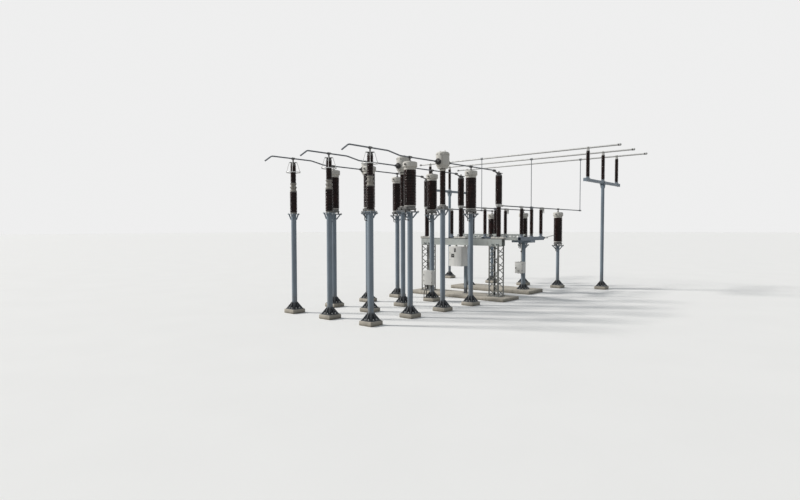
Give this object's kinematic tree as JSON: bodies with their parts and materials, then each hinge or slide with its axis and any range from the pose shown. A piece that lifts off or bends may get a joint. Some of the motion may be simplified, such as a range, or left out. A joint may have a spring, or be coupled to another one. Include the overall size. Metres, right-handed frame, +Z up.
{
  "type": "substation switchgear bay",
  "caption": "High-voltage outdoor switchgear bay: arresters, instrument transformers, breaker and isolator on steel columns, joined by tubes to overhead busbars.",
  "frame": {"origin": "centre of the underside of the breaker's plinth", "axes": "+X along the bay from the arresters to the busbars, +Y across the phases, +Z up"},
  "size_m": [13.9758, 9.0176, 5.3149],
  "materials": {
    "concrete": "weathered cast concrete",
    "brown_porcelain": "dark brown gloss glaze",
    "column_paint": "satin grey paint, weathered",
    "pale_casting": "matt pale grey paint",
    "tank_paint": "satin grey paint",
    "ring_aluminium": "dull",
    "dark_terminal": "matt dark resin and metal",
    "dark_conduit": "ribbed black conduit",
    "cabinet_paint": "satin off-white paint",
    "galvanised_steel": "dull galvanised",
    "beam_paint": "pale grey-green, dull",
    "frame_paint": "blue-grey, satin",
    "fitting_metal": "dull cast",
    "dark_casting": "dull",
    "conductor_aluminium": "dull, oxidised",
    "busbar_aluminium": "satin"
  },
  "bodies": {
    "bay": {"column_plinths": "concrete", "breaker_plinth": "concrete", "isolator_plinth": "concrete", "arrester_columns": "column_paint", "arrester_lower_units": "brown_porcelain", "arrester_mid_flanges": "pale_casting", "arrester_upper_units": "brown_porcelain", "arrester_caps": "dark_casting", "arrester_grading_rings": "ring_aluminium", "vt_columns": "column_paint", "vt_tanks": "tank_paint", "vt_insulators": "brown_porcelain", "vt_heads": "pale_casting", "vt_terminals": "dark_terminal", "ct_columns": "column_paint", "ct_bases": "tank_paint", "ct_insulators": "brown_porcelain", "ct_heads": "pale_casting", "ct_terminals": "dark_terminal", "junction_box": "cabinet_paint", "cable_conduits": "dark_conduit", "breaker_legs": "galvanised_steel", "breaker_beam": "beam_paint", "breaker_drive_rod": "dark_casting", "breaker_pole_housings": "pale_casting", "breaker_support_insulators": "brown_porcelain", "breaker_mid_terminals": "fitting_metal", "breaker_interrupters": "brown_porcelain", "breaker_top_terminals": "dark_casting", "breaker_cabinet": "cabinet_paint", "breaker_cabinet_leg": "column_paint", "isolator_columns": "column_paint", "isolator_cross_beams": "beam_paint", "isolator_pole_frames": "frame_paint", "isolator_fixed_insulators": "brown_porcelain", "isolator_jaws": "fitting_metal", "isolator_drive_box": "cabinet_paint", "bus_vt_columns": "column_paint", "busbar_masts": "column_paint", "busbar_insulators": "brown_porcelain", "busbar_clamps": "fitting_metal", "busbar_tubes": "busbar_aluminium", "droppers": "conductor_aluminium", "upper_conductors": "conductor_aluminium", "lower_conductors": "conductor_aluminium"},
    "pole_1": {"turntable_1": "dark_casting", "turning_insulator_1": "brown_porcelain", "blade_1": "conductor_aluminium"},
    "pole_2": {"turntable_2": "dark_casting", "turning_insulator_2": "brown_porcelain", "blade_2": "conductor_aluminium"},
    "pole_3": {"turntable_3": "dark_casting", "turning_insulator_3": "brown_porcelain", "blade_3": "conductor_aluminium"},
    "gang_link": {"gang_rod": "galvanised_steel"},
    "earthing": {"earth_switch": "conductor_aluminium"},
    "cabinet_door": {"breaker_cabinet_door": "cabinet_paint"},
    "box_door": {"junction_box_door": "cabinet_paint"}
  },
  "joints": [
    {"name": "isolator_turn_1", "type": "hinge", "parent": "bay", "child": "pole_1", "pos_m": [2.32, -1.5, 2.05], "axis": [0, 0, 1], "range_deg": [0, 90]},
    {"name": "isolator_turn_2", "type": "hinge", "parent": "bay", "child": "pole_2", "pos_m": [2.32, 0, 2.05], "axis": [0, 0, 1], "range_deg": [0, 90]},
    {"name": "isolator_turn_3", "type": "hinge", "parent": "bay", "child": "pole_3", "pos_m": [2.32, 1.5, 2.05], "axis": [0, 0, 1], "range_deg": [0, 90]},
    {"name": "gang_rod_swing", "type": "hinge", "parent": "pole_1", "child": "gang_link", "pos_m": [2.17858, -1.35858, 2.0953], "axis": [0, 0, 1], "range_deg": [-90, 0]},
    {"name": "earth_switch_turn", "type": "hinge", "parent": "bay", "child": "earthing", "pos_m": [3.26, 0, 2], "axis": [0, -1, 0], "range_deg": [0, 85]},
    {"name": "cabinet_door_swing", "type": "hinge", "parent": "bay", "child": "cabinet_door", "pos_m": [-0.3503, -0.27, 1.06], "axis": [0, 0, 1], "range_deg": [0, 110]},
    {"name": "box_door_swing", "type": "hinge", "parent": "bay", "child": "box_door", "pos_m": [-1.9228, -0.195, 0.545], "axis": [0, 0, 1], "range_deg": [0, 110]}
  ],
  "couplings": [
    {"joint": "isolator_turn_2", "follows": "isolator_turn_1", "ratio": 1},
    {"joint": "isolator_turn_3", "follows": "isolator_turn_1", "ratio": 1},
    {"joint": "gang_rod_swing", "follows": "isolator_turn_1", "ratio": -1}
  ]
}
